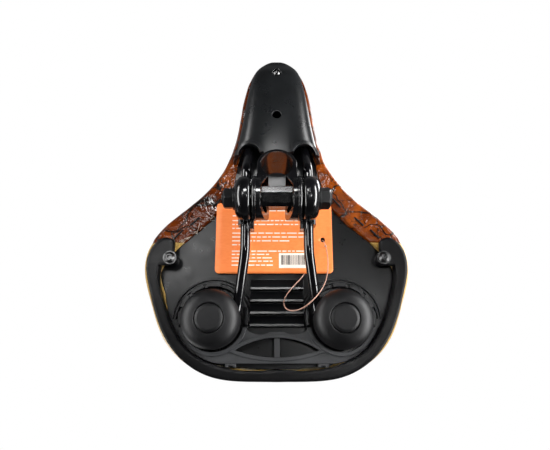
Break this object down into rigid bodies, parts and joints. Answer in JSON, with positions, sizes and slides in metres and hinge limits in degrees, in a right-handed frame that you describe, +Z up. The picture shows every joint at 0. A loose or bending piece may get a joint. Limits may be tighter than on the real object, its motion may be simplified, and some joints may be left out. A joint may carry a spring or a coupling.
{
  "type": "bicycle saddle",
  "caption": "Padded bicycle saddle with printed vinyl cover, elastomer rear suspension on twin rails, rear bumper, swing tag and a tilting seatpost clamp.",
  "frame": {"origin": "centre of the seatpost bore in the clamp's collar, halfway along the bore", "axes": "+X forward to the nose, +Y to the rider's left, +Z up, with the rails level"},
  "size_m": [0.2569, 0.201, 0.1084],
  "materials": {
    "steel_black": "gloss",
    "fastener_black": "satin",
    "rail_black": "gloss",
    "sleeve_plastic": "matte",
    "elastomer": "satin",
    "printed_vinyl": "gloss",
    "side_vinyl": "satin",
    "foam": "matte",
    "pan_plastic": "satin",
    "bracket_plastic": "satin",
    "nose_plastic": "satin",
    "bumper_plastic": "satin",
    "fastener_silver": "satin",
    "staple_steel": "satin",
    "tag_card": "satin",
    "tag_thread": "matte",
    "glue": "matte"
  },
  "bodies": {
    "post_collar": {"post_collar": "steel_black"},
    "rail_clamp": {"clamp_bolt": "fastener_black", "clamp_spacer": "steel_black", "inner_plate_left": "steel_black", "inner_plate_right": "steel_black", "outer_plate_left": "steel_black", "outer_plate_right": "steel_black", "clamp_washer_left": "fastener_black", "clamp_washer_right": "fastener_black", "clamp_nut_left": "fastener_black", "clamp_nut_right": "fastener_black"},
    "rails": {"rail_left": "rail_black", "rail_right": "rail_black", "nose_sleeve": "sleeve_plastic", "spring_dome_left": "elastomer", "spring_dome_right": "elastomer", "spring_plug_left": "elastomer", "spring_plug_right": "elastomer", "spring_body_left": "elastomer", "spring_body_right": "elastomer"},
    "shell": {"base_pan": "pan_plastic", "bumper": "bumper_plastic", "bumper_screw_left": "fastener_silver", "bumper_screw_right": "fastener_silver", "bumper_washer_left": "fastener_silver", "bumper_washer_right": "fastener_silver", "clip_left": "bracket_plastic", "clip_right": "bracket_plastic", "cover_printed": "printed_vinyl", "cover_side": "side_vinyl", "foam_pad": "foam", "nose_cover": "nose_plastic", "nose_screw": "fastener_silver", "pivot_block": "pan_plastic", "rear_bracket": "bracket_plastic", "staple_1_left": "staple_steel", "staple_1_right": "staple_steel", "staple_2_left": "staple_steel", "staple_2_right": "staple_steel", "staple_3_left": "staple_steel", "staple_3_right": "staple_steel", "tag_card": "tag_card", "tag_glue": "glue", "tag_knot": "tag_thread", "tag_thread": "tag_thread"}
  },
  "joints": [
    {"name": "saddle_tilt", "type": "hinge", "parent": "post_collar", "child": "rail_clamp", "pos_m": [-0.0196, 0, -0.00599], "axis": [0, 1, 0], "range_deg": [-20, 20]},
    {"name": "fore_aft", "type": "slide", "parent": "rail_clamp", "child": "rails", "axis": [1, 0, 0], "range_m": [-0.004, 0.012]},
    {"name": "rear_suspension", "type": "hinge", "parent": "rails", "child": "shell", "pos_m": [0.084, 0, 0.0295], "axis": [0, -1, 0], "range_deg": [0, 1.5], "stiffness_Nm_per_rad": 3600, "deforming": ["spring_body_left", "spring_body_right"]}
  ]
}
